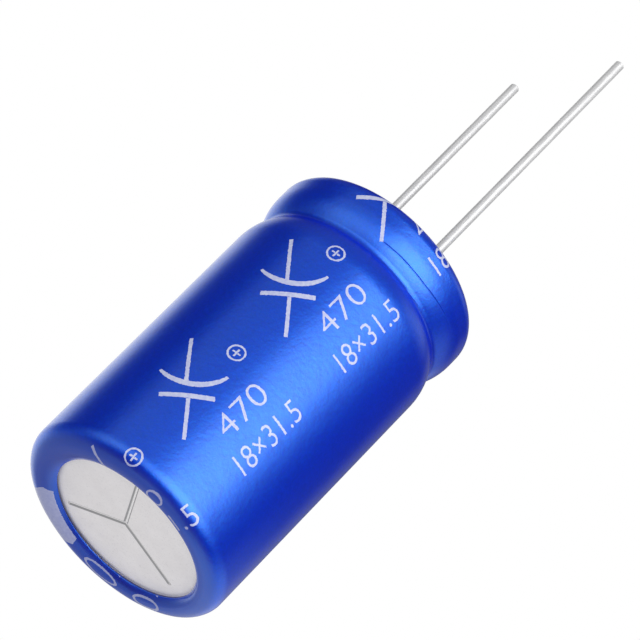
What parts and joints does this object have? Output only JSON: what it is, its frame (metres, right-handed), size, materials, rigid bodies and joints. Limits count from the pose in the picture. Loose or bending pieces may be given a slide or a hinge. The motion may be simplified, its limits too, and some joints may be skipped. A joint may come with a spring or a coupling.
{
  "type": "electrolytic capacitor",
  "caption": "Cylindrical aluminium can in a shrink sleeve, with a scored vent on its closed end and a rolled groove and rubber bung at the other, where straight wire leads come out.",
  "frame": {"origin": "centre of the vented end, in the plane of the foot ring that the part stands on", "axes": "+Z along the can's axis towards the leads; +X from the axis to the positive (longer) lead"},
  "size_m": [0.0184, 0.0184, 0.0587],
  "materials": {
    "sleeve_film": "glossy blue shrink film with pale print",
    "can_aluminium": "matt drawn aluminium",
    "bung_rubber": "moulded butyl rubber",
    "lead_wire": "bright tinned steel wire",
    "tab_aluminium": "pressed bright aluminium",
    "anode_foil": "etched matt grey foil",
    "cathode_foil": "thin bright foil",
    "separator_paper": "paper soaked with electrolyte",
    "closing_tape": "clear amber film tape"
  },
  "bodies": {
    "root": {"sleeve": "sleeve_film", "can": "can_aluminium", "bung": "bung_rubber", "positive_lead": "lead_wire", "negative_lead": "lead_wire", "positive_tab": "tab_aluminium", "negative_tab": "tab_aluminium", "anode_foil": "anode_foil", "cathode_foil": "cathode_foil", "inner_separator": "separator_paper", "outer_separator": "separator_paper", "closing_tape": "closing_tape"}
  },
  "joints": []
}
